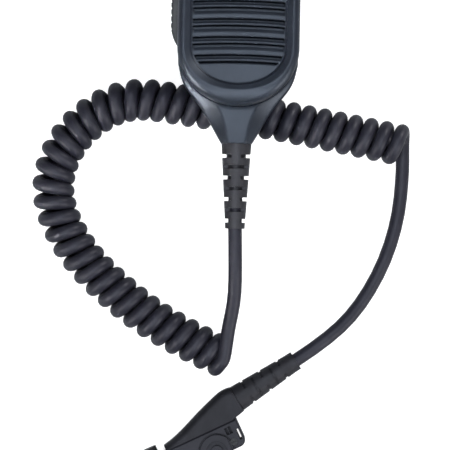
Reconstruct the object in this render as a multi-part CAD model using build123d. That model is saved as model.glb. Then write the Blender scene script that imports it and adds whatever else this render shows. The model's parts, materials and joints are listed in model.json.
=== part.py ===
from build123d import *
import math
import os

# Hand microphone lying on its belt clip, with a curly cord and a radio plug. Millimetres.
# X runs to the right of the microphone, Y towards its top, Z out of its front.
# The origin is where the clip's swivel axis meets the clip's outer face, at z = 0.

# Case
CASE_HALF_WIDTH = 25.6
CASE_BACK = 15.0
PARTING = 27.5
CASE_FRONT = 42.0
WALL = 2.0
FRONT_LOW_CENTRE = -31.0
FRONT_LOW_DEPTH = 24.4
CASE_HIGH_CENTRE = 13.5
CASE_HIGH_DEPTH = 15.5
CROWN_START = -46.0
CROWN_RADIUS = 17.0
RIM_ROUND = 3.4

# Sunken grille
RECESS_HALF_WIDTH = 20.1
RECESS_LOW_CENTRE = -31.0
RECESS_LOW_DEPTH = 15.6
RECESS_HIGH_CENTRE = 11.0
RECESS_HIGH_DEPTH = 12.0
RECESS_FLOOR = 39.5
RECESS_ROUND = 0.5
FLOOR_ROUND = 0.85
DISH_LOW = 40.7
DISH_HIGH = 42.3
DISH_WIDTH = 3.6
GRILLE_THICK = 2.2
SLOT_FIRST = -36.9
SLOT_PAIR_PITCH = 7.55
SLOT_PAIR_GAP = 2.8
SLOT_PAIRS = 7
SLOT_WIDTH = 1.0
SLOT_SLANT = 1.2
SLAT_DIP = 0.9
SLOT_ARCH_RADIUS = 300.0
SLOT_LINES = [
    SLOT_FIRST + pair * SLOT_PAIR_PITCH + side * SLOT_PAIR_GAP
    for pair in range(SLOT_PAIRS) for side in (0, 1)
]

# Neck
BELL_TOP = -38.0
NECK_END = -71.0
NECK_AXIS_Z = 26.0
NECK_WALL = 1.7
NECK_HOLE = 4.3
COLLAR_RADIUS = 4.9
SLEEVE_WIDE = 6.35
SLEEVE_NARROW = 4.15

# Push-to-talk button
PTT_LOW = -30.5
PTT_HIGH = 12.5
PTT_OUT = 2.9
PTT_BACK = 19.3
PTT_FRONT = 34.7
PTT_CLEARANCE = 0.3
PTT_SWEEP = 9.0
PAD_THICK = 0.9
RIB_PITCH = 2.9
RIB_GROOVES = 13
RIB_GROOVE_RADIUS = 0.8
RIB_GROOVE_DEPTH = 0.45

# Speaker
SPEAKER_Y = -13.0
SPEAKER_RADIUS = 18.0

# Screws of the case, the cable clamp and the board
SCREW_PLACES = [(x, y) for y in (15.5, -38.5) for x in (-17.5, 17.5)]
SCREW_HEAD_BACK = 15.9
CLAMP_SCREW_X = 6.2
CLAMP_SCREW_TIP = 19.4
BOARD_SCREWS = [(x, y) for y in (14.0, -37.0) for x in (-9.0, 9.0)]

# Board, and the switch beside the button
BOARD_BACK = 18.6
BOARD_THICK = 1.0
BOARD_HALF_WIDTH = 20.9
SWITCH_Y = -8.75
SWITCH_Z = BOARD_BACK + BOARD_THICK + 2.4
SWITCH_FACE = -19.5
POST_TIP = -21.9

# Belt clip
CLIP_DISC_RADIUS = 12.5
CLIP_DISC_BACK = 12.7
CLIP_DISC_FRONT = 14.7
CLIP_LOW = -39.0
CLIP_HIGH = 19.0
LEVER_THICK = 2.2
HINGE_Y = 8.0
HINGE_Z = 7.5
HINGE_PIN_RADIUS = 1.25
SWIVEL_RADIUS = 3.0
FIT = 0.05

# Earphone jack
JACK_Y = 7.0
JACK_Z = 27.0
JACK_BORE = 1.8
JACK_DEPTH = 11.7
COVER_LOW = 1.0
COVER_AXIS_Y = 12.6
COVER_THICK = 1.2

# Cord
CORD_RADIUS = 2.95
CURL_RADIUS = 9.25
RELIEF_END = -107.0
INNER_END_Y = -46.0
CLAMP_Y = -48.8

# Plug. Its own plane lies flat on its side: s along the hard block, w towards the contact face.
PLUG_CORNER = (2.4, -189.0)
PLUG_ANGLE = 206.0
PLUG_AXIS_Z = 7.0
OVERMOULD_LOW = 1.2
OVERMOULD_HIGH = 12.8
BLOCK_LOW = 0.6
BLOCK_HIGH = 13.4
BLOCK_LENGTH = 47.0
BLOCK_SEAM = -0.65
CONTACT_FACE = 15.0
CONTACT_FIRST = 12.5
CONTACT_PITCH = 3.0
CONTACTS = 6
BOSS_CENTRE = (13.3, 8.7)
BOSS_RADIUS = 7.2
PLUG_SCREWS = [(4.9, 7.9), (33.0, 4.0)]
THUMBSCREW_S = 41.0
THUMBSCREW_RADIUS = 1.85
THREAD_RADIUS = 1.5
UNDERCUT_RADIUS = 1.2
THREAD_REACH = 4.0


def prism(sketch, low, high):
    """Extrude a flat outline between two heights."""
    return Pos(0, 0, low) * extrude(sketch, high - low)


def block(x0, x1, y0, y1, z0, z1):
    """A plain box between two corners."""
    return Pos((x0 + x1) / 2, (y0 + y1) / 2, (z0 + z1) / 2) * Box(x1 - x0, y1 - y0, z1 - z0)


def rod(radius, low, high, x=0.0, y=0.0):
    """A cylinder along Z between two heights."""
    return Pos(x, y, (low + high) / 2) * Cylinder(radius, high - low)


def rod_x(radius, x0, x1, y, z):
    """A cylinder along X between two places."""
    return Pos((x0 + x1) / 2, y, z) * Rot(0, 90, 0) * Cylinder(radius, x1 - x0)


def rod_y(radius, y0, y1, x, z):
    """A cylinder along Y between two places."""
    return Pos(x, (y0 + y1) / 2, z) * Rot(90, 0, 0) * Cylinder(radius, y1 - y0)


def ring(outer, inner, low, high, x=0.0, y=0.0):
    """A flat ring about a vertical axis."""
    return rod(outer, low, high, x, y) - rod(inner, low - 1, high + 1, x, y)


def turned(points, x=0.0, y=0.0):
    """Spin a closed (radius, z) outline about a vertical axis."""
    outline = Plane.XZ * make_face(Polyline(*points, close=True))
    return Pos(x, y, 0) * revolve(outline, Axis.Z)


def long_oval(half_width, low_centre, low_depth, high_centre, high_depth):
    """Straight sides closed by half an ellipse at each end."""
    right = Line((half_width, low_centre), (half_width, high_centre))
    top = EllipticalCenterArc((0, high_centre), half_width, high_depth, 0, arc_size=180)
    left = Line((-half_width, high_centre), (-half_width, low_centre))
    bottom = EllipticalCenterArc((0, low_centre), half_width, low_depth, 180, arc_size=180)
    return make_face(Curve() + [right, top, left, bottom])


def case_oval(inset=0.0):
    """Outline of the front housing, or of a wall inside it."""
    return long_oval(
        CASE_HALF_WIDTH - inset, FRONT_LOW_CENTRE, FRONT_LOW_DEPTH - inset,
        CASE_HIGH_CENTRE, CASE_HIGH_DEPTH - inset,
    )


def recess_oval(inset=0.0):
    """Outline of the sunken grille."""
    return long_oval(
        RECESS_HALF_WIDTH - inset, RECESS_LOW_CENTRE, RECESS_LOW_DEPTH - inset,
        RECESS_HIGH_CENTRE, RECESS_HIGH_DEPTH - inset,
    )


# ---------------------------------------------------------------- case

def crown():
    """Everything behind the front's crowned surface."""
    reach = 60.0
    bend = math.asin((CROWN_START + reach) / CROWN_RADIUS)
    drop_y = CROWN_START - CROWN_RADIUS * math.sin(bend)
    drop_z = CASE_FRONT - CROWN_RADIUS * (1 - math.cos(bend))
    mid_y = CROWN_START - CROWN_RADIUS * math.sin(bend / 2)
    mid_z = CASE_FRONT - CROWN_RADIUS * (1 - math.cos(bend / 2))
    edge = [
        Line((reach, CASE_FRONT), (CROWN_START, CASE_FRONT)),
        ThreePointArc((CROWN_START, CASE_FRONT), (mid_y, mid_z), (drop_y, drop_z)),
        Polyline((drop_y, drop_z), (drop_y, 0), (reach, 0), (reach, CASE_FRONT)),
    ]
    side = Plane.YZ * make_face(Curve() + edge)
    return extrude(side, 40, both=True)


def grille_cuts():
    """Slanted slots, and the slope of every slat into the slot above it, all on gently arched lines."""
    top = RECESS_FLOOR
    low = top - GRILLE_THICK - 1
    slant = SLOT_SLANT * (top - low) / GRILLE_THICK
    profile = Sketch()
    for index, y in enumerate(SLOT_LINES):
        profile += make_face(Polyline(
            (y, top + 1), (y - SLOT_WIDTH, top + 1), (y - SLOT_WIDTH, top),
            (y - SLOT_WIDTH + slant, low), (y + slant, low), (y, top), close=True,
        ))
        if index:
            slat_high = y - SLOT_WIDTH
            slope_start = (SLOT_LINES[index - 1] + slat_high) / 2
            profile += make_face(Polyline(
                (slope_start, top), (slat_high, top - SLAT_DIP), (slat_high, top + 0.5),
                (slope_start, top + 0.5), close=True,
            ))
    # the outline is spun about a far upright axis, which arches every line by the same small amount
    half = math.degrees(math.asin(24 / (SLOT_ARCH_RADIUS - 40)))
    spun = revolve(
        Plane.YZ * profile, Axis((0, -SLOT_ARCH_RADIUS, 0), (0, 0, 1)), 2 * half,
    )
    spun = Pos(0, -SLOT_ARCH_RADIUS, 0) * Rot(0, 0, -half) * Pos(0, SLOT_ARCH_RADIUS, 0) * spun
    field = long_oval(19.2, RECESS_LOW_CENTRE, 13.4, 6.0, 12.0)
    return spun & prism(field, low - 1, top + 2)


def level_edges(shape, z):
    """Edges that lie flat at this height."""
    return shape.edges().filter_by(
        lambda e: abs(e.bounding_box().min.Z - z) < 0.01 and abs(e.bounding_box().max.Z - z) < 0.01
    )


def front_housing():
    """Front shell with rim, sunken grille, speaker wall and screw bosses."""
    shell = prism(case_oval(), PARTING, CASE_FRONT) & crown()
    top_edges = shell.edges().filter_by(lambda e: e.center().Z > PARTING + 1)
    shell = fillet(top_edges, RIM_ROUND)
    shell -= prism(recess_oval(), RECESS_FLOOR, CASE_FRONT + 1)
    shell -= loft([Pos(0, 0, DISH_LOW) * recess_oval(), Pos(0, 0, DISH_HIGH) * recess_oval(-DISH_WIDTH)])
    shell = fillet(level_edges(shell, DISH_LOW), RECESS_ROUND)
    shell = fillet(level_edges(shell, RECESS_FLOOR), FLOOR_ROUND)
    inner_front = RECESS_FLOOR - GRILLE_THICK
    shell -= prism(case_oval(WALL), PARTING - 1, inner_front)
    shell -= grille_cuts()
    bosses = Part()
    for x, y in SCREW_PLACES:
        bosses += rod(3.2, PARTING - 4.0, inner_front, x, y) - rod(1.2, PARTING - 5, PARTING + 6, x, y)
    wall_low = inner_front - 6.5
    speaker_wall = ring(SPEAKER_RADIUS + 1.5, SPEAKER_RADIUS + 0.2, wall_low, inner_front, 0, SPEAKER_Y)
    shell += bosses + speaker_wall
    return shell - rod_y(CORD_RADIUS + 0.2, -60, -48, 0, NECK_AXIS_Z)


def neck_section(y, half_width, back, front, keel, crest, shoulder_back, shoulder_front, soft, inset=0.0):
    """Eight-sided cross-section of the lower end of the rear housing, its corners rounded."""
    w = half_width - inset
    k = keel - 0.6 * inset
    c = crest - 0.6 * inset
    low = shoulder_back + 0.5 * inset
    high = shoulder_front - 0.3 * inset
    points = [
        (k, back + inset), (w, low), (w, high), (c, front - inset),
        (-c, front - inset), (-w, high), (-w, low), (-k, back + inset),
    ]
    outline = make_face(Polyline(*points, close=True))
    across = Plane(origin=(0, y, 0), x_dir=(1, 0, 0), z_dir=(0, -1, 0))
    return across * fillet(outline.vertices(), soft / 2 if inset else soft)


# y, half width, back, front, keel, crest, shoulders at the back and at the front, rounding
NECK_SECTIONS = [
    (BELL_TOP, 25.3, 15.0, 29.0, 22.2, 22.0, 18.0, 27.5, 1.4),
    (-44.0, 23.8, 15.9, 29.8, 20.0, 17.5, 18.9, 27.4, 2.0),
    (-49.5, 20.7, 17.3, 30.7, 16.9, 12.6, 20.1, 27.0, 2.4),
    (-55.0, 16.3, 18.9, 31.5, 12.7, 8.6, 21.4, 26.8, 2.6),
    (-60.0, 12.9, 19.6, 32.0, 9.6, 6.2, 22.2, 27.0, 2.4),
    (-65.5, 9.8, 19.6, 32.3, 6.9, 4.8, 22.6, 27.6, 2.2),
    (NECK_END, 6.6, 19.5, 32.4, 4.0, 3.6, 22.8, 28.8, 1.8),
]


def above_bell(inset):
    """Outline of the rear housing above the bell, or of the hollow in it."""
    oval = long_oval(
        CASE_HALF_WIDTH - inset, -24.0, 92.0, CASE_HIGH_CENTRE, CASE_HIGH_DEPTH - inset,
    )
    return oval & Pos(0, BELL_TOP) * Rectangle(80, 80, align=(Align.CENTER, Align.MIN))


def rear_housing():
    """Rear shell with the tapering neck, screw wells, swivel boss and cover pocket."""
    slab = prism(above_bell(0), CASE_BACK, PARTING)
    back_edges = slab.edges().filter_by(
        lambda e: abs(e.center().Z - CASE_BACK) < 0.01 and e.center().Y > BELL_TOP + 0.5
    )
    slab = chamfer(back_edges, 3.0)
    bell = loft([neck_section(*row) for row in NECK_SECTIONS])
    shell = slab + bell - prism(case_oval(), PARTING, CASE_FRONT)
    cavity = prism(above_bell(WALL), CASE_BACK + WALL, PARTING + 1)
    hollow_rows = [
        (NECK_END + 3 if row[0] == NECK_END else row[0],) + row[1:] for row in NECK_SECTIONS
    ]
    cavity += loft([neck_section(*row, inset=NECK_WALL) for row in hollow_rows])
    below_rim = block(-30, 30, CLAMP_Y, BELL_TOP + 1, 0, 60)
    cavity += prism(case_oval(WALL), PARTING - 3, PARTING + 1) & below_rim
    shell -= cavity
    shell -= rod_y(NECK_HOLE, NECK_END - 1, NECK_END + 6, 0, NECK_AXIS_Z)
    shell -= rod_y(COLLAR_RADIUS + 0.1, NECK_END + 3, NECK_END + 8, 0, NECK_AXIS_Z)
    for x in (-CLAMP_SCREW_X, CLAMP_SCREW_X):
        shell += rod(2.2, 19.0, 22.0, x, CLAMP_Y)
        shell -= rod(1.0, CLAMP_SCREW_TIP, 23.0, x, CLAMP_Y)
    for x, y in BOARD_SCREWS:
        shell += rod(2.2, CASE_BACK + WALL - 0.1, BOARD_BACK, x, y)
        shell -= rod(0.8, CASE_BACK + WALL, BOARD_BACK + 1, x, y)
    for x, y in SCREW_PLACES:
        shell += rod(3.2, CASE_BACK + 0.5, PARTING - 4.0, x, y)
        shell -= rod(2.4, CASE_BACK - 1, CASE_BACK + 3.0, x, y)
        shell -= rod(1.3, CASE_BACK, PARTING, x, y)
    shell += rod(4.8, CASE_BACK + 0.5, 22.0)
    shell -= rod(3.2, 17.0, 23.0)
    shell -= rod(2.0, CASE_BACK - 1, 18.0)
    return shell - housing_gasket()


def ptt_window():
    """Opening for the button through both shells."""
    c = PTT_CLEARANCE
    face = -CASE_HALF_WIDTH
    return block(face - 2, face + WALL + 1, PTT_LOW - c, PTT_HIGH + c, PTT_BACK - c, PTT_FRONT + c)


def jack_cuts():
    """Pocket for the jack cover and the hole to the jack, through both shells."""
    face = CASE_HALF_WIDTH
    pocket = block(face - 1.4, face + 2, COVER_LOW - 0.3, COVER_AXIS_Y + 1.7, JACK_Z - 5.8, JACK_Z + 5.8)
    return pocket + rod_x(2.2, face - 4, face, JACK_Y, JACK_Z)


def housing_gasket():
    """Thin seal laid in the rear shell's rim."""
    seal = prism(case_oval(0.7) - case_oval(1.4), PARTING - 0.7, PARTING)
    return seal & block(-40, 40, BELL_TOP + 3, 40, 0, 60)


def housing_screw():
    """Pan-head screw driven from the back, its head sunk in a well."""
    screw = rod(2.2, 0, 1.8) + rod(1.15, 1.8, 13.0)
    return screw - block(-1.4, 1.4, -0.3, 0.3, -1, 0.7) - block(-0.3, 0.3, -1.4, 1.4, -1, 0.7)


# ---------------------------------------------------------------- inside the case

def speaker_parts():
    """The small moving-coil loudspeaker behind the grille."""
    y = SPEAKER_Y
    seat = RECESS_FLOOR - GRILLE_THICK
    parts = {}
    parts["grille_cloth"] = prism(long_oval(19.2, -26.0, 14.5, 4.0, 10.0), seat - 0.3, seat)
    parts["grille_cloth"] &= rod(SPEAKER_RADIUS + 0.1, seat - 1, seat + 1, 0, y)
    parts["speaker_seal"] = ring(SPEAKER_RADIUS, 15.4, seat - 1.1, seat - 0.3, 0, y)
    rim = seat - 1.1
    parts["speaker_cone"] = turned([
        (0, rim - 2.6), (4.5, rim - 3.0), (6.5, rim - 4.0), (6.8, rim - 4.0), (13.0, rim - 0.9),
        (14.0, rim - 0.3), (15.0, rim - 0.25), (17.8, rim - 0.25), (17.8, rim), (14.8, rim),
        (13.8, rim - 0.05), (12.8, rim - 0.65), (6.7, rim - 3.7), (4.6, rim - 2.7), (0, rim - 2.3),
    ], 0, y)
    base = rim - 6.2
    basket = turned([
        (SPEAKER_RADIUS, rim - 0.3), (SPEAKER_RADIUS, rim - 1.2), (15.6, rim - 1.2), (10.0, base),
        (7.2, base), (7.2, base + 0.7), (9.6, base + 0.7), (15.2, rim - 0.3),
    ], 0, y)
    for turn in range(4):
        window = Rot(0, 0, 45 + 90 * turn) * block(10.8, 14.4, -3.0, 3.0, base - 1, rim)
        basket -= Pos(0, y, 0) * window
    parts["speaker_basket"] = basket
    parts["speaker_yoke"] = turned([
        (0, base - 4.2), (8.2, base - 4.2), (8.2, base), (7.25, base), (7.25, base - 3.2), (0, base - 3.2),
    ], 0, y)
    parts["speaker_magnet"] = rod(5.6, base - 3.2, base - 0.8, 0, y)
    parts["speaker_top_plate"] = rod(6.1, base - 0.8, base + 0.2, 0, y)
    parts["voice_coil"] = ring(6.8, 6.45, base - 1.8, rim - 4.05, 0, y)
    return parts


def microphone_parts():
    """Electret capsule in its rubber boot, behind the smooth field."""
    seat = RECESS_FLOOR - GRILLE_THICK
    y = -40.0
    capsule = rod(3.0, seat - 3.2, seat - 0.5, 0, y)
    boot = rod(4.4, seat - 4.2, seat, 0, y) - rod(3.0, seat - 3.2, seat - 0.5, 0, y)
    boot -= rod(1.0, seat - 1, seat + 1, 0, y)
    return {"microphone_capsule": capsule, "microphone_boot": boot}


def circuit_board():
    """Board with notches for the bosses and a hole for the swivel boss."""
    outline = long_oval(BOARD_HALF_WIDTH, -33.0, 12.0, 3.0, 18.0)
    board = prism(outline, BOARD_BACK, BOARD_BACK + BOARD_THICK)
    for x, y in SCREW_PLACES:
        board -= rod(3.8, 0, 40, x, y)
    board -= rod(5.2, 0, 40)
    for x, y in BOARD_SCREWS:
        board -= rod(0.9, 0, 40, x, y)
    return board


def board_screws():
    """Four small screws that hold the board to pillars of the rear shell."""
    top = BOARD_BACK + BOARD_THICK
    screws = Part()
    for x, y in BOARD_SCREWS:
        screws += rod(1.5, top, top + 1.0, x, y) + rod(0.75, CASE_BACK + WALL, top, x, y)
    return screws


def board_parts():
    """Chips and tall parts on the front of the board."""
    top = BOARD_BACK + BOARD_THICK
    group = Part()
    for x, y, length, width, height in [
        (-10, -24, 7, 7, 1.2), (2, -28, 5, 4, 1.0), (11, -26, 4, 6, 1.4), (-6, 6.5, 5, 3, 1.0),
        (8, 9, 3, 5, 1.2), (-13, 6, 3, 3, 1.0), (12, -8, 4, 3, 1.1),
    ]:
        group += block(x - length / 2, x + length / 2, y - width / 2, y + width / 2, top, top + height)
    for x, y in [(-4, -34), (4, -34), (13, 2)]:
        group += rod(1.6, top, top + 3.0, x, y)
    return group


def ptt_switch():
    """Side-pressed switch beside the button, with a hole for its plunger."""
    top = BOARD_BACK + BOARD_THICK
    body = block(SWITCH_FACE, SWITCH_FACE + 4.0, SWITCH_Y - 3.25, SWITCH_Y + 3.25, top, top + 4.4)
    return body - rod_x(1.2, SWITCH_FACE - 1, SWITCH_FACE + 3.2, SWITCH_Y, SWITCH_Z)


def switch_plunger():
    """The switch's plunger, which the button's post pushes in."""
    return rod_x(1.0, POST_TIP, SWITCH_FACE + 1.4, SWITCH_Y, SWITCH_Z)


def earphone_jack():
    """Side jack for an earphone's 3.5 mm plug, its mouth just inside the wall."""
    mouth = CASE_HALF_WIDTH - WALL - 0.3
    back = mouth - JACK_DEPTH - 1.2
    body = block(back, mouth, JACK_Y - 3.0, JACK_Y + 3.0, JACK_Z - 3.0, JACK_Z + 2.6)
    body -= rod(SPEAKER_RADIUS + 1.7, JACK_Z - 10, 40, 0, SPEAKER_Y)
    return body - rod_x(JACK_BORE, mouth - JACK_DEPTH, mouth + 1, JACK_Y, JACK_Z)


def jack_cover():
    """Rubber flap that swings about its upper end."""
    face = CASE_HALF_WIDTH
    mid = face - 1.1 + COVER_THICK / 2
    skin = COVER_THICK / 2
    low = JACK_Z - 5.4
    high = JACK_Z + 5.4
    flap = block(mid - skin, mid + skin, COVER_LOW, COVER_AXIS_Y, low, high)
    flap += rod(skin, low, high, mid, COVER_AXIS_Y)
    stub = rod_x(1.45, mid - skin - 1.0, mid, JACK_Y, JACK_Z)
    lip = rod_x(1.0, mid, mid + skin + 0.5, COVER_LOW + 1.6, JACK_Z)
    return flap + stub + lip


def ptt_outline(out):
    """Plan of the button: flat along its middle, swept into the case at each end."""
    face = -CASE_HALF_WIDTH
    top = face - out
    bend = face - out * 0.62
    root = face + 0.2
    inner = face + WALL + 0.3
    return make_face(Curve() + [
        Line((top, PTT_HIGH - PTT_SWEEP), (top, PTT_LOW + PTT_SWEEP)),
        ThreePointArc((top, PTT_LOW + PTT_SWEEP), (bend, PTT_LOW + 3.2), (root, PTT_LOW)),
        Polyline((root, PTT_LOW), (inner, PTT_LOW), (inner, PTT_HIGH), (root, PTT_HIGH)),
        ThreePointArc((root, PTT_HIGH), (bend, PTT_HIGH - 3.2), (top, PTT_HIGH - PTT_SWEEP)),
    ])


def ptt_button():
    """Hard core of the button with a retaining flange and the post that works the switch."""
    core = prism(ptt_outline(PTT_OUT - PAD_THICK), PTT_BACK, PTT_FRONT)
    inner = -CASE_HALF_WIDTH + WALL + 0.3
    lip = 1.2
    flange = block(inner, inner + 0.8, PTT_LOW - lip, PTT_HIGH + lip, PTT_BACK - lip, PTT_FRONT + lip / 2)
    post = block(inner + 0.8, POST_TIP, SWITCH_Y - 1.75, SWITCH_Y + 1.75, SWITCH_Z - 1.4, SWITCH_Z + 1.4)
    return core + flange + post


def ptt_pad():
    """Rubber skin of the button, scalloped by grooves across it."""
    skin = ptt_outline(PTT_OUT) - ptt_outline(PTT_OUT - PAD_THICK)
    pad = prism(skin, PTT_BACK + 0.3, PTT_FRONT - 0.3)
    pad &= block(-CASE_HALF_WIDTH - 5, -CASE_HALF_WIDTH - 0.25, PTT_LOW, PTT_HIGH, 0, 60)
    middle = (PTT_LOW + PTT_HIGH) / 2
    for index in range(RIB_GROOVES):
        y = middle + (index - (RIB_GROOVES - 1) / 2) * RIB_PITCH
        from_end = min(y - PTT_LOW, PTT_HIGH - y, PTT_SWEEP)
        out = PTT_OUT * (1 - (1 - from_end / PTT_SWEEP) ** 2.4)
        x = -CASE_HALF_WIDTH - out - RIB_GROOVE_RADIUS + RIB_GROOVE_DEPTH
        pad -= rod(RIB_GROOVE_RADIUS, PTT_BACK + 1.6, PTT_FRONT + 1, x, y)
    return pad


# ---------------------------------------------------------------- cord and its reliefs

def slotted_sleeve(length, wide, narrow, slots, pitch, first, gap, depth):
    """Tapering sleeve along +Z, slotted in turn from the sides and from front and back."""
    sleeve = Pos(0, 0, length / 2) * Cone(wide, narrow, length)
    spine = 2.0
    for index in range(slots):
        z = first + index * pitch
        surface = wide + (narrow - wide) * z / length
        slot = ring(wide + 1, surface - depth, z - gap / 2, z + gap / 2)
        if index % 2:
            slot -= block(-20, 20, -spine, spine, z - 2, z + 2)
        else:
            slot -= block(-spine, spine, -20, 20, z - 2, z + 2)
        sleeve -= slot
    return sleeve


def cord_strain_relief():
    """Slotted rubber sleeve at the neck, with a collar held inside the neck."""
    length = NECK_END - RELIEF_END
    sleeve = slotted_sleeve(length, SLEEVE_WIDE, SLEEVE_NARROW, 7, 4.55, 5.3, 1.6, 1.9)
    sleeve += rod(NECK_HOLE - FIT, -4.0, 0.5)
    sleeve += rod(COLLAR_RADIUS, -5.4, -3.1)
    sleeve -= rod(CORD_RADIUS + FIT, -10, length + 1)
    return Pos(0, NECK_END, NECK_AXIS_Z) * Rot(90, 0, 0) * sleeve


def corner_radii(points):
    """Largest tangent arc for each corner: 0.45 of the shorter run over tan(half the turn)."""
    radii = []
    for before, here, after in zip(points, points[1:], points[2:]):
        into = Vector(*here) - Vector(*before)
        out = Vector(*after) - Vector(*here)
        half_turn = math.radians(into.get_angle(out)) / 2
        radii.append(0.45 * min(into.length, out.length) / math.tan(half_turn))
    return radii


def cord_tube(name, points, radius):
    """A plain round tube along straight runs joined by tangent arcs."""
    radii = corner_radii(points)
    path = FilletPolyline(*points, radius=radii)
    tube = sweep(Plane(origin=path @ 0, z_dir=path % 0) * Circle(radius), path=path)
    ratio = tube.volume / (math.pi * radius**2 * path.length)
    shown = ", ".join(f"{r:.0f}" for r in radii)
    print(f"{name}: length {path.length:.1f}, volume ratio {ratio:.4f}, radii {shown}")
    return tube


def plug_cord_end():
    """The last of the cord, gripped inside the plug's sleeve."""
    thin, wide = relief_ends()
    run = wide - thin
    rod_along = Pos(0, 0, run.length / 2) * Cylinder(CORD_RADIUS, run.length)
    return Plane(origin=thin, z_dir=run.normalized()).location * rod_along


# From the neck down to the top of the curl's first turn.
MIC_LEAD = [
    (0.0, -107.0, 26.0), (0.0, -121.0, 26.0), (1.6, -137.0, 20.8), (-1.4, -150.0, 16.5), (-4.0, -161.0, 15.5),
]
# Middle line of the curl, from below the neck round to the right.
CURL_LINE = [
    (-3.4, -162.6, 9.25), (-20.6, -154.8, 9.25), (-43.6, -141.3, 9.25), (-68.6, -118.6, 9.25),
    (-80.8, -92.2, 9.25), (-72.1, -67.1, 9.25), (-48.8, -50.9, 9.25), (-22.0, -54.5, 9.25),
    (8.0, -58.4, 9.25), (38.0, -63.7, 9.25), (71.9, -70.0, 9.25),
]
# Along the floor from the end of the curl, then up into the plug's sleeve.
PLUG_LEAD = [
    (72.9, -66.5, 2.95), (72.2, -82.0, 2.95), (70.6, -102.0, 2.95), (64.4, -122.5, 2.95),
    (53.2, -142.0, 3.8), (39.4, -155.1, 7.0), (27.4, -163.2, 7.0),
]


# ---------------------------------------------------------------- plug

def plug_plane(z=0.0):
    """The plug's own plane: s along the block, w towards the contact face."""
    turn = math.radians(PLUG_ANGLE)
    return Plane(origin=(*PLUG_CORNER, z), x_dir=(math.cos(turn), math.sin(turn), 0), z_dir=(0, 0, 1))


def plug_place(shape):
    """Move a shape drawn in the plug's own coordinates to where the plug lies."""
    return plug_plane().location * shape


def cross_rod(radius, s, w0, w1, z=PLUG_AXIS_Z):
    """A cylinder across the plug, along w."""
    return rod_y(radius, w0, w1, s, z)


def plug_overmould():
    """Soft back of the plug, its back edge a long S from the shoulder to the block."""
    shoulder = (-3.0, -13.6)
    tip = (33.0, -3.1)
    back = Spline(shoulder, (1.5, -13.75), (6.6, -12.3), (14.6, -9.4), (22.4, -6.2), tip)
    rest = Polyline(tip, (33.0, BLOCK_SEAM), (1.8, BLOCK_SEAM), (-4.6, -2.3), shoulder)
    outline = make_face(Curve() + [back, rest])
    body = prism(outline, OVERMOULD_LOW, OVERMOULD_HIGH)
    flat_faces = body.faces().filter_by(Axis.Z)
    rounded = (flat_faces[0].edges() + flat_faces[1].edges()).filter_by(
        lambda e: e.center().Y < -5 and e.length > 15
    )
    body = fillet(rounded, 3.4)
    return body - block(1.5, 24.0, -4.5, 1.0, OVERMOULD_LOW + 2.2, OVERMOULD_HIGH - 2.2)


def plug_contact_block():
    """Hard half of the plug: the contacts' face, a round boss and a slotted, rounded near end."""
    near_end = Pos(0, BLOCK_SEAM) * Rectangle(7.2, 11.65, align=Align.MIN)
    near_end = fillet(near_end.vertices().sort_by(Axis.X)[0:2].sort_by(Axis.Y)[-1:], 3.0)
    plan = near_end + Pos(7.0, BLOCK_SEAM) * Rectangle(
        BLOCK_LENGTH - 7.0, CONTACT_FACE - BLOCK_SEAM, align=Align.MIN,
    )
    hard = prism(plan, BLOCK_LOW, BLOCK_HIGH)
    hard = chamfer(hard.faces().sort_by(Axis.Z)[-1].edges() + hard.faces().sort_by(Axis.Z)[0].edges(), 0.6)
    boss_x, boss_y = BOSS_CENTRE
    hard -= ring(BOSS_RADIUS + 0.7, BOSS_RADIUS, BLOCK_HIGH - 0.9, BLOCK_HIGH + 1, boss_x, boss_y)
    inside = block(7.0, 40.0, BLOCK_SEAM + 0.6, CONTACT_FACE - 0.6, 0, 20)
    hard += rod(BOSS_RADIUS, BLOCK_HIGH - 0.5, BLOCK_HIGH + 0.6, boss_x, boss_y) & inside
    hard -= ring(4.6, 2.6, BLOCK_HIGH - 0.6, BLOCK_HIGH + 1, boss_x, boss_y)
    hard -= block(9.0, 31.0, 1.5, CONTACT_FACE - 2.4, BLOCK_LOW + 2.0, BLOCK_HIGH - 2.0)
    hard -= block(1.0, 2.0, 3.4, 8.2, -1, 20)
    hard -= block(3.6, 6.4, 1.0, 4.2, BLOCK_HIGH - 2.5, 20) - block(4.8, 5.3, 1.0, 4.2, 0, BLOCK_HIGH - 0.4)
    hard -= cross_rod(1.9, THUMBSCREW_S, -2, CONTACT_FACE + 1)
    hard -= cross_rod(4.9, THUMBSCREW_S, -2, 2.0)
    hard -= cross_rod(3.2, THUMBSCREW_S, CONTACT_FACE - 2.0, CONTACT_FACE + 1)
    for index in range(CONTACTS):
        hard -= cross_rod(0.85, CONTACT_FIRST + CONTACT_PITCH * index, CONTACT_FACE - 3, CONTACT_FACE + 1)
    for s, w in PLUG_SCREWS:
        hard -= rod(1.65, BLOCK_HIGH - 1.2, BLOCK_HIGH + 1, s, w)
    return hard


def plug_contacts():
    """The row of gold-plated pins, a little proud of the block's face."""
    pins = Part()
    for index in range(CONTACTS):
        s = CONTACT_FIRST + CONTACT_PITCH * index
        pins += cross_rod(0.8, s, CONTACT_FACE - 3.4, CONTACT_FACE + 0.6)
    return pins


def plug_gasket():
    """Seal round the row of pins."""
    outer = block(9.6, 30.4, CONTACT_FACE, CONTACT_FACE + 0.5, 2.8, 11.2)
    return outer - block(10.8, 29.2, CONTACT_FACE - 1, CONTACT_FACE + 1, 4.0, 10.0)


def plug_hook():
    """Hook at the far end of the block that catches under the radio's lug."""
    root = block(BLOCK_LENGTH, BLOCK_LENGTH + 2.6, 6.0, CONTACT_FACE, 3.5, 10.5)
    return root + block(BLOCK_LENGTH, BLOCK_LENGTH + 5.0, CONTACT_FACE - 2.0, CONTACT_FACE, 3.5, 10.5)


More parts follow.
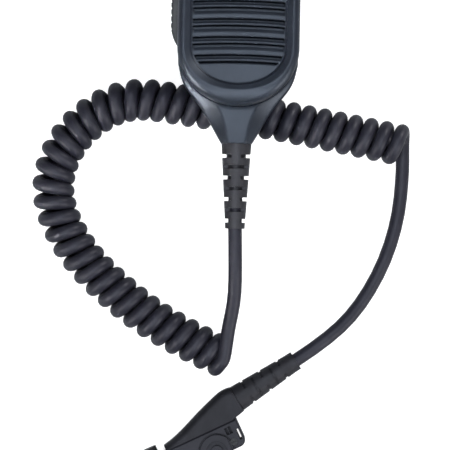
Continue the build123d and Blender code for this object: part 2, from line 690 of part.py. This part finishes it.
def plug_case_screws():
    """Two countersunk screws that close the plug."""
    screws = Part()
    for s, w in PLUG_SCREWS:
        slot = block(s - 1.1, s + 1.1, w - 0.2, w + 0.2, BLOCK_HIGH - 0.4, BLOCK_HIGH + 1)
        screws += rod(1.6, BLOCK_HIGH - 1.2, BLOCK_HIGH, s, w) - slot
    return screws


def plug_pieces():
    """All fixed pieces of the plug, where it lies."""
    pieces = {
        "plug_overmould": plug_overmould(),
        "plug_contact_block": plug_contact_block(),
        "plug_contacts": plug_contacts(),
        "plug_gasket": plug_gasket(),
        "plug_circuit_board": block(10.0, 30.0, 10.6, 11.6, 3.2, 10.8),
        "plug_hook": plug_hook(),
        "plug_case_screws": plug_case_screws(),
    }
    return {name: plug_place(shape) for name, shape in pieces.items()}


def relief_ends():
    """Where the plug's sleeve takes in the cord, and where it meets the overmould."""
    plane = plug_plane(PLUG_AXIS_Z)
    return Vector(*PLUG_LEAD[-1]), plane.from_local_coords(Vector(-3.9, -7.95, 0))


def plug_strain_relief():
    """Slotted sleeve from the cord to the plug's overmould."""
    thin, wide = relief_ends()
    run = thin - wide
    sleeve = slotted_sleeve(run.length, 5.75, 4.1, 5, 4.4, 5.5, 1.1, 0.5)
    sleeve += Pos(0, 0, run.length - 1.5) * Cylinder(4.25, 3.0)
    sleeve -= rod(CORD_RADIUS + FIT, -3, run.length + 1)
    return Plane(origin=wide, z_dir=run.normalized()).location * sleeve


def plug_thumbscrew():
    """Knurled captive screw that draws the plug onto the radio."""
    head = cross_rod(4.6, THUMBSCREW_S, -4.6, 1.8)
    knurls = 18
    for index in range(knurls):
        turn = 2 * math.pi * index / knurls
        s = THUMBSCREW_S + 4.75 * math.cos(turn)
        head -= cross_rod(0.45, s, -6, -1.2, PLUG_AXIS_Z + 4.75 * math.sin(turn))
    head -= block(THUMBSCREW_S - 4, THUMBSCREW_S + 4, -6, -3.7, PLUG_AXIS_Z - 0.6, PLUG_AXIS_Z + 0.6)
    shank = cross_rod(THUMBSCREW_RADIUS, THUMBSCREW_S, 1.8, CONTACT_FACE - 1.3)
    undercut = cross_rod(UNDERCUT_RADIUS, THUMBSCREW_S, CONTACT_FACE - 1.3, CONTACT_FACE)
    thread = cross_rod(THREAD_RADIUS, THUMBSCREW_S, CONTACT_FACE, CONTACT_FACE + THREAD_REACH)
    return plug_place(head + shank + undercut + thread)


def screw_retaining_clip():
    """Clip on the thumbscrew that keeps it in the plug."""
    clip = cross_rod(2.8, THUMBSCREW_S, CONTACT_FACE - 1.3, CONTACT_FACE - 0.6)
    return plug_place(clip - cross_rod(UNDERCUT_RADIUS, THUMBSCREW_S, 0, CONTACT_FACE + 1))


# ---------------------------------------------------------------- cable ends inside the case

def cord_inner_end():
    """The cord from the neck's sleeve to the clamp inside the case."""
    return rod_y(CORD_RADIUS, RELIEF_END, INNER_END_Y, 0, NECK_AXIS_Z)


def cable_clamp():
    """Bridge that grips the cord inside the neck."""
    bridge = block(-8.5, 8.5, CLAMP_Y - 2.5, CLAMP_Y + 2.5, 22.0, 29.6)
    bridge -= rod_y(CORD_RADIUS, -60, -40, 0, NECK_AXIS_Z)
    for x in (-CLAMP_SCREW_X, CLAMP_SCREW_X):
        bridge -= rod(1.0, 20, 30, x, CLAMP_Y)
        bridge -= rod(1.7, 28.0, 31, x, CLAMP_Y)
    return bridge


def cable_clamp_screws():
    """Two screws down through the bridge."""
    screws = Part()
    for x in (-CLAMP_SCREW_X, CLAMP_SCREW_X):
        screws += rod(1.6, 28.0, 29.2, x, CLAMP_Y) + rod(0.95, CLAMP_SCREW_TIP, 28.0, x, CLAMP_Y)
    return screws


def cord_wires():
    """Four cores from the cut end of the cord down to the board."""
    group = Part()
    for x in (-1.2, 1.2):
        for dz in (-1.0, 1.0):
            spread = 2.2 * x
            path = FilletPolyline(
                (x, INNER_END_Y, NECK_AXIS_Z + dz), (x, INNER_END_Y + 4.0, NECK_AXIS_Z + dz),
                (spread, INNER_END_Y + 8.0 + dz, BOARD_BACK + BOARD_THICK + 0.5),
                radius=2.0,
            )
            group += sweep(Plane(origin=path @ 0, z_dir=path % 0) * Circle(0.5), path=path)
    return group


# ---------------------------------------------------------------- belt clip

def swivel_insert():
    """Threaded brass bush in the rear shell's boss."""
    return ring(3.2, 1.9, 17.0, 22.0)


def swivel_screw():
    """Shoulder screw about which the clip turns."""
    screw = rod(5.5, 10.9, 12.4) + rod(SWIVEL_RADIUS, 12.4, CASE_BACK) + rod(1.9, CASE_BACK, 21.0)
    return screw - block(-3.6, 3.6, -0.5, 0.5, 10, 11.7)


def swivel_washer():
    """Thin washer under the screw's head."""
    return ring(5.5, SWIVEL_RADIUS, 12.4, 12.6)


def clip_base():
    """Swivelling disc with the upper jaw arm and the two hinge ears."""
    disc = rod(CLIP_DISC_RADIUS, CLIP_DISC_BACK, CLIP_DISC_FRONT)
    arm = block(-6.5, 6.5, CLIP_LOW + 1, 0, CLIP_DISC_BACK, CLIP_DISC_FRONT)
    arm = fillet(arm.edges().filter_by(Axis.Z).sort_by(Axis.Y)[0:2], 3.0)
    bridge = block(-9.4, 9.4, 2, HINGE_Y + 4, CLIP_DISC_BACK, CLIP_DISC_FRONT)
    base = disc + arm + bridge
    for side in (-1, 1):
        x0, x1 = sorted((side * 7.3, side * 9.4))
        base += block(x0, x1, HINGE_Y - 3.5, HINGE_Y + 3.5, HINGE_Z, CLIP_DISC_BACK)
        base += rod_x(3.5, x0, x1, HINGE_Y, HINGE_Z)
    for tooth in range(3):
        y = CLIP_LOW + 5.2 + 2.2 * tooth
        base += block(-6.0, 6.0, y, y + 0.8, CLIP_DISC_BACK - 0.5, CLIP_DISC_BACK)
    base -= rod_x(HINGE_PIN_RADIUS, -10, 10, HINGE_Y, HINGE_Z)
    return base - rod(SWIVEL_RADIUS + FIT, 12, 15)


def clip_hinge_pin():
    """Steel pin pressed into the base's ears."""
    return rod_x(HINGE_PIN_RADIUS, -9.4, 9.4, HINGE_Y, HINGE_Z)


def clip_spring():
    """Torsion spring about the pin: a stack of turns with a leg beside each end one."""
    wire = 0.45
    coil_radius = 2.2
    turns = 7
    spring = Part()
    for turn in range(turns):
        x = (turn - (turns - 1) / 2) * 1.0
        spring += Pos(x, HINGE_Y, HINGE_Z) * Rot(0, 90, 0) * Torus(coil_radius, wire)
    reach = (turns + 1) / 2
    up = rod_y(wire, HINGE_Y - 12, HINGE_Y, -reach, HINGE_Z + coil_radius)
    down = rod_y(wire, HINGE_Y - 12, HINGE_Y, reach, HINGE_Z - coil_radius)
    return spring + up + down


def clip_lever():
    """Outer jaw of the clip with its thumb plate, ears and turned-up toothed lip."""
    plan = make_face(Polyline(
        (-7.0, CLIP_LOW), (7.0, CLIP_LOW), (9.0, -12.0), (9.0, CLIP_HIGH), (-9.0, CLIP_HIGH), (-9.0, -12.0),
        close=True,
    ))
    plate = prism(fillet(plan.vertices().filter_by(lambda v: abs(v.Y + 12) > 1), 2.5), 0, LEVER_THICK)
    lip = block(-6.0, 6.0, CLIP_LOW, CLIP_LOW + 2.2, LEVER_THICK, CLIP_DISC_BACK - 0.3)
    lever = plate + lip
    for side in (-1, 1):
        x0, x1 = sorted((side * 5.0, side * 7.0))
        lever += block(x0, x1, HINGE_Y - 3.5, HINGE_Y + 3.5, LEVER_THICK, HINGE_Z)
        lever += rod_x(3.5, x0, x1, HINGE_Y, HINGE_Z)
    for groove in range(5):
        y = CLIP_HIGH - 1.6 - 1.6 * groove
        lever -= block(-10, 10, y - 0.35, y + 0.35, LEVER_THICK - 0.4, LEVER_THICK)
    for y in (-30.0, -22.0):
        lever -= block(-3.5, 3.5, y - 2.5, y + 2.5, -1, 3)
    return lever - rod_x(HINGE_PIN_RADIUS + FIT, -10, 10, HINGE_Y, HINGE_Z)


# ---------------------------------------------------------------- all pieces

def head_pieces():
    """Everything in and on the head that doesn't move."""
    window = ptt_window()
    jack = jack_cuts()
    pieces = {
        "front_housing": front_housing() - window - jack,
        "rear_housing": rear_housing() - window - jack,
        "housing_gasket": housing_gasket() - window - jack,
        "circuit_board": circuit_board(),
        "board_parts": board_parts(),
        "board_screws": board_screws(),
        "ptt_switch": ptt_switch(),
        "earphone_jack": earphone_jack(),
        "cable_clamp": cable_clamp(),
        "cable_clamp_screws": cable_clamp_screws(),
        "cord_inner_end": cord_inner_end(),
        "cord_wires": cord_wires(),
        "cord_strain_relief": cord_strain_relief(),
        "swivel_insert": swivel_insert(),
        "swivel_screw": swivel_screw(),
        "swivel_washer": swivel_washer(),
    }
    screws = Part()
    for x, y in SCREW_PLACES:
        screws += Pos(x, y, SCREW_HEAD_BACK) * housing_screw()
    pieces["housing_screws"] = screws
    pieces.update(speaker_parts())
    pieces.update(microphone_parts())
    return pieces


def moving_pieces():
    """Everything that has a joint of its own."""
    return {
        "ptt_button": ptt_button(),
        "ptt_pad": ptt_pad(),
        "switch_plunger": switch_plunger(),
        "jack_cover": jack_cover(),
        "clip_base": clip_base(),
        "clip_hinge_pin": clip_hinge_pin(),
        "clip_spring": clip_spring(),
        "clip_lever": clip_lever(),
        "plug_thumbscrew": plug_thumbscrew(),
        "screw_retaining_clip": screw_retaining_clip(),
    }


def cord_pieces():
    """The free cord and the plug at its end."""
    pieces = {
        "cord_mic_lead": cord_tube("cord_mic_lead", MIC_LEAD, CORD_RADIUS),
        "cord_curl": cord_tube("cord_curl", CURL_LINE, CURL_RADIUS),
        "cord_plug_lead": cord_tube("cord_plug_lead", PLUG_LEAD, CORD_RADIUS),
        "plug_strain_relief": plug_strain_relief(),
        "plug_cord_end": plug_cord_end(),
    }
    pieces.update(plug_pieces())
    return pieces


os.makedirs("parts", exist_ok=True)
for pieces in (head_pieces(), moving_pieces(), cord_pieces()):
    for name, shape in pieces.items():
        export_step(shape, f"parts/{name}.step")
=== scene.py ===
import json
import math

import bpy
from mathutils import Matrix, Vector


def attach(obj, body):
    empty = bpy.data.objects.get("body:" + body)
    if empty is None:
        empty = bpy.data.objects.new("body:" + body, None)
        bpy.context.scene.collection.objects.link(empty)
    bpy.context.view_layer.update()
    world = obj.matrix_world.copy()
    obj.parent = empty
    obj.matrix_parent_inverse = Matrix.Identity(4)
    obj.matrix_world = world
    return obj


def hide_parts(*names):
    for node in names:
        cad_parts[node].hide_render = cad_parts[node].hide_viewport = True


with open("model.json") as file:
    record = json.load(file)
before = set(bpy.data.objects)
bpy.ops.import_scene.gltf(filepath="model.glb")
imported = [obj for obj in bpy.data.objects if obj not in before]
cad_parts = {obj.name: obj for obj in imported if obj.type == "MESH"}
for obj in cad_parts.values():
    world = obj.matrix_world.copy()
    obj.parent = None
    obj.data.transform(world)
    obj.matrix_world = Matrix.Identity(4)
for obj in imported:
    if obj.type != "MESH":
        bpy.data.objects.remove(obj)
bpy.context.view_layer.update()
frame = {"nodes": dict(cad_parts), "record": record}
NODES = frame["nodes"]
RECORD = frame["record"]
SCENE = bpy.context.scene
MM = 0.001

# ---------------------------------------------------------------- driving values: cord, in mm

CORD_DIAMETER = 5.9
CURL_DIAMETER = 18.5
CURL_TURNS = 41.5
POINTS_PER_TURN = 16

# The cord's route: the lead from the neck, the middle line of the curl, and the lead to the plug.
MIC_LEAD = [
    (0.0, -105.0, 26.0), (0.5, -121.0, 26.0), (0.6, -137.0, 20.8), (-2.0, -150.0, 16.5),
]
CURL_LINE = [
    (-3.4, -162.6, 9.25), (-20.6, -154.8, 9.25), (-43.6, -141.3, 9.25), (-68.6, -118.6, 9.25),
    (-80.8, -92.2, 9.25), (-72.1, -67.1, 9.25), (-48.8, -50.9, 9.25), (-22.0, -54.5, 9.25),
    (8.0, -58.4, 9.25), (38.0, -63.7, 9.25), (71.9, -70.0, 9.25),
]
PLUG_LEAD = [
    (72.2, -82.0, 2.95), (70.6, -102.0, 2.95), (64.4, -122.5, 2.95),
    (53.2, -142.0, 3.8), (39.4, -155.1, 7.0), (27.4, -163.2, 7.0),
]

ROUTE_STEPS = 12  # steps per point when the curl's middle line is read
CORD_STEPS = 3  # steps per point of the cord itself, whose points are already close together
CORD_BEVEL = 6  # roundness of the cord's section

# ---------------------------------------------------------------- driving values: studio

CAMERA_PLACE_MM = (-4.18, -105.5, 1100.0)
CAMERA_TURN_DEG = 1.1
CAMERA_LENS = 203.0
CAMERA_SENSOR = 36.0
CAMERA_REACH = 10.0

WHITE = (1, 1, 1)
COOL = (0.86, 0.93, 1.0)
WORLD_SEEN = 1.0
WORLD_THROWN = 0.08
FLOOR_SEEN = 0.85
FLOOR_THROWN = 0.0
FLOOR_GREY = 0.5
FLOOR_ROUGHNESS = 0.9
FLOOR_HALF = 3.0
FLOOR_Z = -0.0002  # just under the clip's face, which is at zero, so that the two don't flicker

SCENE_MIDDLE = (-0.01, -0.10, 0.0)
BELL_SHOULDER = (-0.024, -0.045, 0.03)
WIDE = 180.0
NARROW = 10.0
# Area lights: name, place, size, watts, point aimed at, colour, spread. Metres and degrees.
LIGHTS = [
    ("front_strip", (-0.05, -0.62, 1.3), (1.1, 0.55), 11.5, SCENE_MIDDLE, COOL, WIDE),
    ("back_strip", (-0.05, 0.22, 1.4), (1.1, 0.40), 8.6, SCENE_MIDDLE, COOL, WIDE),
    ("left_box", (-0.85, -0.75, 0.56), (0.4, 0.4), 7.0, SCENE_MIDDLE, WHITE, WIDE),
    ("front_right_box", (0.85, -0.75, 0.56), (0.6, 0.6), 8.0, SCENE_MIDDLE, WHITE, WIDE),
    ("right_box", (0.80, 0.70, 0.50), (0.3, 0.4), 8.0, SCENE_MIDDLE, WHITE, WIDE),
    ("bell_spot", (-0.85, -0.72, 0.56), (0.10, 0.12), 0.06, BELL_SHOULDER, WHITE, NARROW),
]


def metres(points):
    """Points in millimetres as vectors in metres."""
    return [Vector(p) * MM for p in points]


# ---------------------------------------------------------------- studio

def make_camera():
    """Camera straight above, turned a little so that the microphone leans as it lies."""
    data = bpy.data.cameras.new("camera")
    data.sensor_width = CAMERA_SENSOR
    data.lens = CAMERA_LENS
    data.clip_end = CAMERA_REACH
    camera = bpy.data.objects.new("camera", data)
    camera.location = Vector(CAMERA_PLACE_MM) * MM
    camera.rotation_euler = (0, 0, math.radians(CAMERA_TURN_DEG))
    SCENE.collection.objects.link(camera)
    SCENE.camera = camera


def make_light(name, place, size, watts, aim, colour, spread_deg):
    """Soft area light, aimed at a point."""
    data = bpy.data.lights.new(name, "AREA")
    data.shape = "RECTANGLE"
    data.size, data.size_y = size
    data.energy = watts
    data.color = colour
    data.spread = math.radians(spread_deg)
    light = bpy.data.objects.new(name, data)
    light.location = place
    light.rotation_mode = "QUATERNION"
    light.rotation_quaternion = (Vector(aim) - Vector(place)).to_track_quat("-Z", "Y")
    SCENE.collection.objects.link(light)


def seen_strength(tree, socket, seen, thrown):
    """Shows a backdrop as clean white, while it throws less light than that onto the object."""
    path = tree.nodes.new("ShaderNodeLightPath")
    strength = between(tree, path.outputs["Is Camera Ray"], 0.0, 1.0, thrown, seen)
    tree.links.new(strength, socket)


def make_floor():
    """Wide white floor that the microphone lies on."""
    mesh = bpy.data.meshes.new("floor")
    square = ((-1, -1), (1, -1), (1, 1), (-1, 1))
    corners = [(FLOOR_HALF * x, FLOOR_HALF * y, FLOOR_Z) for x, y in square]
    mesh.from_pydata(corners, [], [(0, 1, 2, 3)])
    floor = bpy.data.objects.new("floor", mesh)
    SCENE.collection.objects.link(floor)
    paint, tree, shader = start_paint("floor_white")
    shader.inputs["Base Color"].default_value = (FLOOR_GREY, FLOOR_GREY, FLOOR_GREY, 1)
    shader.inputs["Roughness"].default_value = FLOOR_ROUGHNESS
    shader.inputs["Emission Color"].default_value = (*WHITE, 1)
    seen_strength(tree, shader.inputs["Emission Strength"], FLOOR_SEEN, FLOOR_THROWN)
    mesh.materials.append(paint)


def make_world():
    """Pale surroundings, shown with the plain view transform, which keeps white white."""
    world = bpy.data.worlds.new("studio")
    world.use_nodes = True
    background = world.node_tree.nodes["Background"]
    background.inputs["Color"].default_value = (*WHITE, 1)
    seen_strength(world.node_tree, background.inputs["Strength"], WORLD_SEEN, WORLD_THROWN)
    SCENE.world = world
    SCENE.view_settings.view_transform = "Standard"


# ---------------------------------------------------------------- materials

NOISE_ROUGHNESS = 0.55
BEVEL_SAMPLES = 6
MOTTLE_RANGE = (0.35, 0.65)  # the stretch of the noise that runs from the dark to the light colour
SMUDGE_RANGE = (0.3, 0.7)  # the stretch that runs from the first roughness to the second
SMUDGE_SIZE = 0.6  # as a share of the mottle's size
SMUDGE_DETAIL = 4.0
GRAIN_DETAIL = 2.0
WAVE_RADIANS = 20.0  # how far a wave texture at scale 1 turns in a unit of length
HOUSING_TINT = (0.78, 0.86, 1.0)
BLACK_TINT = (0.95, 0.93, 1.0)


def start_paint(name):
    """A new material, its node tree and its Principled shader."""
    paint = bpy.data.materials.new(name)
    paint.use_nodes = True
    return paint, paint.node_tree, paint.node_tree.nodes["Principled BSDF"]


def place_node(tree, stretch=(1, 1, 1)):
    """Object coordinates, in metres, stretched."""
    coordinates = tree.nodes.new("ShaderNodeTexCoord")
    mapping = tree.nodes.new("ShaderNodeMapping")
    mapping.inputs["Scale"].default_value = stretch
    tree.links.new(coordinates.outputs["Object"], mapping.inputs["Vector"])
    return mapping.outputs["Vector"]


def noise(tree, size_mm, detail=3.0, stretch=(1, 1, 1)):
    """Noise whose features are about this size."""
    node = tree.nodes.new("ShaderNodeTexNoise")
    node.inputs["Scale"].default_value = 1 / (size_mm * MM)
    node.inputs["Detail"].default_value = detail
    node.inputs["Roughness"].default_value = NOISE_ROUGHNESS
    tree.links.new(place_node(tree, stretch), node.inputs["Vector"])
    return node.outputs["Fac"]


def between(tree, value, low, high, out_low, out_high):
    """Map a value from one range to another."""
    node = tree.nodes.new("ShaderNodeMapRange")
    ends = {"From Min": low, "From Max": high, "To Min": out_low, "To Max": out_high}
    for socket, number in ends.items():
        node.inputs[socket].default_value = number
    tree.links.new(value, node.inputs["Value"])
    return node.outputs["Result"]


def blend_colours(tree, value, dark, light):
    """A colour that runs from dark to light with a value from 0 to 1."""
    node = tree.nodes.new("ShaderNodeMix")
    node.data_type = "RGBA"
    node.inputs["A"].default_value = (*dark, 1)
    node.inputs["B"].default_value = (*light, 1)
    tree.links.new(value, node.inputs["Factor"])
    return node.outputs["Result"]


def round_edges(tree, radius_mm):
    """Normal that softens hard edges."""
    node = tree.nodes.new("ShaderNodeBevel")
    node.samples = BEVEL_SAMPLES
    node.inputs["Radius"].default_value = radius_mm * MM
    return node.outputs["Normal"]


def raise_surface(tree, height, depth_mm, normal=None):
    """Bump from a height value, on top of another normal."""
    node = tree.nodes.new("ShaderNodeBump")
    node.inputs["Strength"].default_value = 1.0
    node.inputs["Distance"].default_value = depth_mm * MM
    tree.links.new(height, node.inputs["Height"])
    if normal:
        tree.links.new(normal, node.inputs["Normal"])
    return node.outputs["Normal"]


def moulded(
    name, dark, light, rough=(0.4, 0.5), grain_mm=0.3, grain_depth_mm=0.012, mottle_mm=9.0,
    edge_mm=0.25, specular=0.5, tint=WHITE, metallic=0.0, stretch=(1, 1, 1), coat=0.0,
):
    """Moulded plastic, rubber or metal: mottled colour, uneven gloss and a fine grain."""
    paint, tree, shader = start_paint(name)
    mottle = between(tree, noise(tree, mottle_mm), *MOTTLE_RANGE, 0.0, 1.0)
    tree.links.new(blend_colours(tree, mottle, dark, light), shader.inputs["Base Color"])
    smudge = noise(tree, mottle_mm * SMUDGE_SIZE, SMUDGE_DETAIL, stretch)
    tree.links.new(between(tree, smudge, *SMUDGE_RANGE, *rough), shader.inputs["Roughness"])
    soft = round_edges(tree, edge_mm) if edge_mm else None
    grain = noise(tree, grain_mm, GRAIN_DETAIL, stretch)
    tree.links.new(raise_surface(tree, grain, grain_depth_mm, soft), shader.inputs["Normal"])
    shader.inputs["Specular IOR Level"].default_value = specular
    shader.inputs["Specular Tint"].default_value = (*tint, 1)
    shader.inputs["Metallic"].default_value = metallic
    shader.inputs["Coat Weight"].default_value = coat
    return paint


def woven(name, dark, light, rough, pitch_mm, depth_mm, sheen):
    """Fine plain weave: two sets of threads, light and high where both come up."""
    paint, tree, shader = start_paint(name)
    threads = []
    for direction in ("X", "Y"):
        wave = tree.nodes.new("ShaderNodeTexWave")
        wave.bands_direction = direction
        wave.inputs["Scale"].default_value = math.pi / (pitch_mm * MM * WAVE_RADIANS)
        tree.links.new(place_node(tree), wave.inputs["Vector"])
        threads.append(wave.outputs["Fac"])
    over = tree.nodes.new("ShaderNodeMath")
    over.operation = "MULTIPLY"
    tree.links.new(threads[0], over.inputs[0])
    tree.links.new(threads[1], over.inputs[1])
    height = over.outputs["Value"]
    tree.links.new(blend_colours(tree, height, dark, light), shader.inputs["Base Color"])
    tree.links.new(between(tree, height, 0.0, 1.0, *rough), shader.inputs["Roughness"])
    tree.links.new(raise_surface(tree, height, depth_mm), shader.inputs["Normal"])
    shader.inputs["Sheen Weight"].default_value = sheen
    return paint


# One material for each slot of the record.
PAINTS = {
    "housing": lambda: moulded(
        "housing_plastic", (0.009, 0.011, 0.016), (0.013, 0.016, 0.023), (0.33, 0.41),
        grain_mm=0.35, grain_depth_mm=0.016, mottle_mm=14.0, edge_mm=1.1, specular=0.46,
        tint=HOUSING_TINT,
    ),
    "ptt_plastic": lambda: moulded("button_plastic", (0.010, 0.011, 0.013), (0.016, 0.017, 0.020)),
    "ptt_rubber": lambda: moulded(
        "button_rubber", (0.006, 0.006, 0.007), (0.010, 0.010, 0.011), (0.55, 0.7), grain_mm=0.2,
        grain_depth_mm=0.02, mottle_mm=4.0, edge_mm=0.15, specular=0.4,
    ),
    "cover_rubber": lambda: moulded(
        "cover_rubber", (0.012, 0.012, 0.014), (0.018, 0.018, 0.021), (0.5, 0.62),
    ),
    "seal_rubber": lambda: moulded(
        "seal_rubber", (0.010, 0.010, 0.010), (0.016, 0.016, 0.016), (0.6, 0.7),
    ),
    "cloth": lambda: woven(
        "grille_weave", (0.004, 0.004, 0.004), (0.020, 0.020, 0.022), (0.95, 0.75), pitch_mm=0.5,
        depth_mm=0.08, sheen=0.2,
    ),
    "cone_paper": lambda: moulded(
        "cone_paper", (0.020, 0.019, 0.017), (0.045, 0.042, 0.038), (0.8, 0.95), grain_mm=0.5,
        grain_depth_mm=0.05, mottle_mm=1.5, edge_mm=0.0, specular=0.2,
    ),
    "steel": lambda: moulded(
        "plated_steel", (0.50, 0.51, 0.53), (0.60, 0.61, 0.63), (0.22, 0.38), grain_mm=0.15,
        grain_depth_mm=0.004, mottle_mm=3.0, edge_mm=0.1, metallic=1.0, stretch=(1, 1, 0.15),
    ),
    "black_steel": lambda: moulded(
        "blackened_steel", (0.012, 0.012, 0.013), (0.020, 0.020, 0.022), (0.3, 0.42), grain_mm=0.15,
        grain_depth_mm=0.004, mottle_mm=3.0, edge_mm=0.1, metallic=0.6,
    ),
    "magnet": lambda: moulded(
        "sintered_magnet", (0.10, 0.10, 0.105), (0.17, 0.17, 0.18), (0.5, 0.7), grain_mm=0.25,
        grain_depth_mm=0.02, mottle_mm=2.0, edge_mm=0.1, metallic=0.4,
    ),
    "copper": lambda: moulded(
        "copper_wire", (0.55, 0.22, 0.09), (0.68, 0.32, 0.15), (0.2, 0.3), grain_mm=0.12,
        grain_depth_mm=0.02, mottle_mm=2.0, edge_mm=0.0, metallic=1.0, stretch=(0.1, 0.1, 1),
    ),
    "brass": lambda: moulded(
        "machined_brass", (0.60, 0.42, 0.16), (0.72, 0.52, 0.22), (0.2, 0.32), grain_mm=0.15,
        grain_depth_mm=0.006, mottle_mm=3.0, edge_mm=0.1, metallic=1.0,
    ),
    "gold_contact": lambda: moulded(
        "gold_plate", (0.80, 0.55, 0.20), (0.90, 0.66, 0.28), (0.14, 0.24), grain_mm=0.2,
        grain_depth_mm=0.002, mottle_mm=2.0, edge_mm=0.08, metallic=1.0,
    ),
    "board": lambda: moulded(
        "solder_mask", (0.008, 0.050, 0.022), (0.014, 0.085, 0.036), (0.25, 0.4), grain_mm=0.8,
        mottle_mm=1.6, edge_mm=0.05, coat=0.3,
    ),
    "chip": lambda: moulded(
        "chip_plastic", (0.010, 0.010, 0.011), (0.018, 0.018, 0.019), (0.45, 0.6), grain_mm=0.15,
        grain_depth_mm=0.01,
    ),
    "inner_plastic": lambda: moulded(
        "inner_plastic", (0.05, 0.05, 0.05), (0.07, 0.07, 0.07), (0.45, 0.6),
    ),
    "relief_rubber": lambda: moulded(
        "sleeve_rubber", (0.012, 0.012, 0.014), (0.018, 0.018, 0.021), (0.42, 0.52),
        grain_depth_mm=0.010, mottle_mm=6.0, specular=0.38, tint=BLACK_TINT,
    ),
    "cord_jacket": lambda: moulded(
        "cord_jacket", (0.010, 0.010, 0.016), (0.015, 0.015, 0.022), (0.43, 0.53), grain_mm=0.5,
        grain_depth_mm=0.010, mottle_mm=7.0, edge_mm=0.0, specular=0.31, tint=BLACK_TINT,
    ),
    "wire_jacket": lambda: moulded(
        "wire_jacket", (0.40, 0.03, 0.02), (0.55, 0.05, 0.03), (0.3, 0.4), grain_mm=0.4,
        grain_depth_mm=0.004, mottle_mm=2.0, edge_mm=0.0,
    ),
    "plug_relief": lambda: moulded(
        "plug_sleeve_rubber", (0.010, 0.010, 0.012), (0.015, 0.015, 0.018), (0.45, 0.55),
        grain_depth_mm=0.010, mottle_mm=6.0, specular=0.25, tint=BLACK_TINT,
    ),
    "plug_rubber": lambda: moulded(
        "plug_rubber", (0.010, 0.010, 0.012), (0.014, 0.014, 0.017), (0.38, 0.5),
        grain_depth_mm=0.010, mottle_mm=8.0, edge_mm=0.3, specular=0.17, tint=BLACK_TINT,
    ),
    "plug_plastic": lambda: moulded(
        "plug_plastic", (0.011, 0.011, 0.014), (0.015, 0.015, 0.019), (0.38, 0.48), grain_mm=0.25,
        grain_depth_mm=0.008, mottle_mm=8.0, specular=0.20, tint=BLACK_TINT,
    ),
    "clip_plastic": lambda: moulded(
        "clip_plastic", (0.012, 0.012, 0.014), (0.018, 0.018, 0.020), (0.42, 0.55), edge_mm=0.3,
    ),
}


def paint_nodes():
    """Give every CAD node the material of its slot. Returns the materials."""
    paints = {slot: make() for slot, make in PAINTS.items()}
    for part in RECORD["subparts"]:
        for slot in NODES[part["node"]].material_slots:
            slot.material = paints[part["material_slot"]]
    return paints


# ---------------------------------------------------------------- cord

def spline_curve(name, points, steps):
    """Smooth open curve with these control points, and so many steps for each."""
    data = bpy.data.curves.new(name, "CURVE")
    data.dimensions = "3D"
    spline = data.splines.new("NURBS")
    spline.points.add(len(points) - 1)
    for place, point in zip(points, spline.points):
        point.co = (*place, 1.0)
    spline.order_u = 3
    spline.use_endpoint_u = True
    spline.resolution_u = steps
    return bpy.data.objects.new(name, data)


def read_line(points):
    """Points along the smooth curve, as Blender gives them for a curve with no bevel."""
    route = spline_curve("route", points, ROUTE_STEPS)
    SCENE.collection.objects.link(route)
    bpy.context.view_layer.update()
    graph = bpy.context.evaluated_depsgraph_get()
    mesh = bpy.data.meshes.new_from_object(route.evaluated_get(graph))
    line = [v.co.copy() for v in mesh.vertices]
    bpy.data.objects.remove(route)
    bpy.data.meshes.remove(mesh)
    return line


def evenly(line, count):
    """Places evenly spaced along a line of points, with directions: one more than count."""
    reach = [0.0]
    for a, b in zip(line, line[1:]):
        reach.append(reach[-1] + (b - a).length)
    out = []
    at = 0
    for index in range(count + 1):
        want = reach[-1] * index / count
        while at < len(line) - 2 and reach[at + 1] < want:
            at += 1
        step = line[at + 1] - line[at]
        share = (want - reach[at]) / (reach[at + 1] - reach[at])
        out.append((line[at] + step * share, step.normalized()))
    return out


def curl_points():
    """Left-handed helix along the curl's middle line.

    It runs from the top of the first turn to the bottom of the last.
    """
    line = read_line(metres(CURL_LINE))
    count = round(CURL_TURNS * POINTS_PER_TURN)
    radius = (CURL_DIAMETER - CORD_DIAMETER) / 2 * MM
    up = Vector((0, 0, 1))
    points = []
    for index, (place, along) in enumerate(evenly(line, count)):
        turn = 2 * math.pi * index / POINTS_PER_TURN
        side = along.cross(up)
        points.append(place + radius * (math.cos(turn) * up - math.sin(turn) * side))
    return points


def make_cord():
    """The whole cord, from the neck's sleeve through the curl to the plug's sleeve."""
    points = metres(MIC_LEAD) + curl_points() + metres(PLUG_LEAD)
    cord = spline_curve("curly_cord", points, CORD_STEPS)
    cord.data.bevel_depth = CORD_DIAMETER / 2 * MM
    cord.data.bevel_resolution = CORD_BEVEL
    SCENE.collection.objects.link(cord)
    return cord


# ---------------------------------------------------------------- build

make_camera()
make_floor()
make_world()
for light in LIGHTS:
    make_light(*light)
paints = paint_nodes()
cord = make_cord()
cord.data.materials.append(paints["cord_jacket"])
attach(cord, "root")
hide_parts("cord_mic_lead", "cord_curl", "cord_plug_lead")
